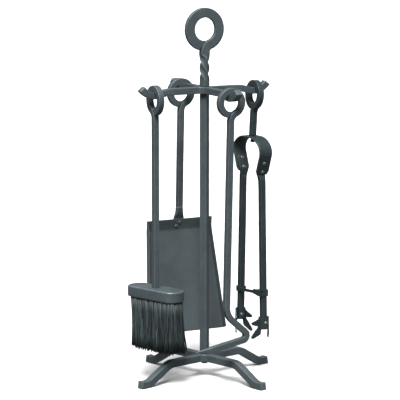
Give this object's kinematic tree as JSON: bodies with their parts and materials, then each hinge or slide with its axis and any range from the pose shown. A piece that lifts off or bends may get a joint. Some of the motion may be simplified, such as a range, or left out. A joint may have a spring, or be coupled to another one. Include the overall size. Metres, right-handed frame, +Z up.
{
  "type": "fireplace tool set",
  "caption": "Wrought-iron fireplace tool set: a square-bar stand with a ring handle and hooks that holds a brush, a shovel, a poker and sprung tongs.",
  "frame": {"origin": "on the post's axis at floor level", "axes": "+Z up the post; the hook arms point along +X (tongs), +Y (shovel), -X (brush) and -Y (poker)"},
  "size_m": [0.2782, 0.2782, 0.61],
  "materials": {
    "iron": "satin graphite paint over hammered bar",
    "sheet": "satin graphite paint over rolled sheet",
    "spring_strip": "dark satin paint over rolled strip",
    "rivet": "satin graphite paint over a hammered head",
    "fastener": "zinc-plated",
    "bristle": "coarse black fibre"
  },
  "bodies": {
    "stand": {"ring_handle": "iron", "handle_stud": "fastener", "hook_bar_front": "iron", "hook_bar_rear": "iron", "post": "iron", "leg_bar_front": "iron", "leg_bar_rear": "iron", "base_bolt": "fastener", "base_washer": "fastener"},
    "brush": {"brush_shaft": "iron", "brush_head": "iron", "brush_bristles": "bristle"},
    "shovel": {"shovel_shaft": "iron", "shovel_pan": "sheet", "shovel_rivets": "rivet"},
    "poker": {"poker": "iron"},
    "tongs": {"tongs_hanger": "iron", "tongs_bow": "spring_strip"},
    "tongs_left": {"tongs_arm_left": "iron", "tongs_rivets_left": "rivet", "claw_left": "sheet", "claw_rivet_left": "rivet", "link_strap": "sheet"},
    "tongs_right": {"tongs_arm_right": "iron", "tongs_rivets_right": "rivet", "claw_right": "sheet", "claw_rivet_right": "rivet", "link_clip": "sheet"}
  },
  "joints": [
    {"name": "brush_lift", "type": "slide", "parent": "stand", "child": "brush", "axis": [-0.8192, 0, 0.5736], "range_m": [0, 0.06]},
    {"name": "shovel_lift", "type": "slide", "parent": "stand", "child": "shovel", "axis": [0, 0.8192, 0.5736], "range_m": [0, 0.06]},
    {"name": "poker_lift", "type": "slide", "parent": "stand", "child": "poker", "axis": [0, -0.8192, 0.5736], "range_m": [0, 0.06]},
    {"name": "tongs_lift", "type": "slide", "parent": "stand", "child": "tongs", "axis": [0.8192, 0, 0.5736], "range_m": [0, 0.06]},
    {"name": "left_squeeze", "type": "hinge", "parent": "tongs", "child": "tongs_left", "pos_m": [0.09, 0.02, 0.39], "axis": [-1, 0, 0], "range_deg": [0, 3.9], "stiffness_Nm_per_rad": 20, "deforming": ["tongs_bow"]},
    {"name": "right_squeeze", "type": "hinge", "parent": "tongs", "child": "tongs_right", "pos_m": [0.09, -0.02, 0.39], "axis": [1, 0, 0], "range_deg": [0, 3.9], "stiffness_Nm_per_rad": 20, "deforming": ["tongs_bow"]}
  ],
  "couplings": [
    {"joint": "right_squeeze", "follows": "left_squeeze", "ratio": 1}
  ]
}
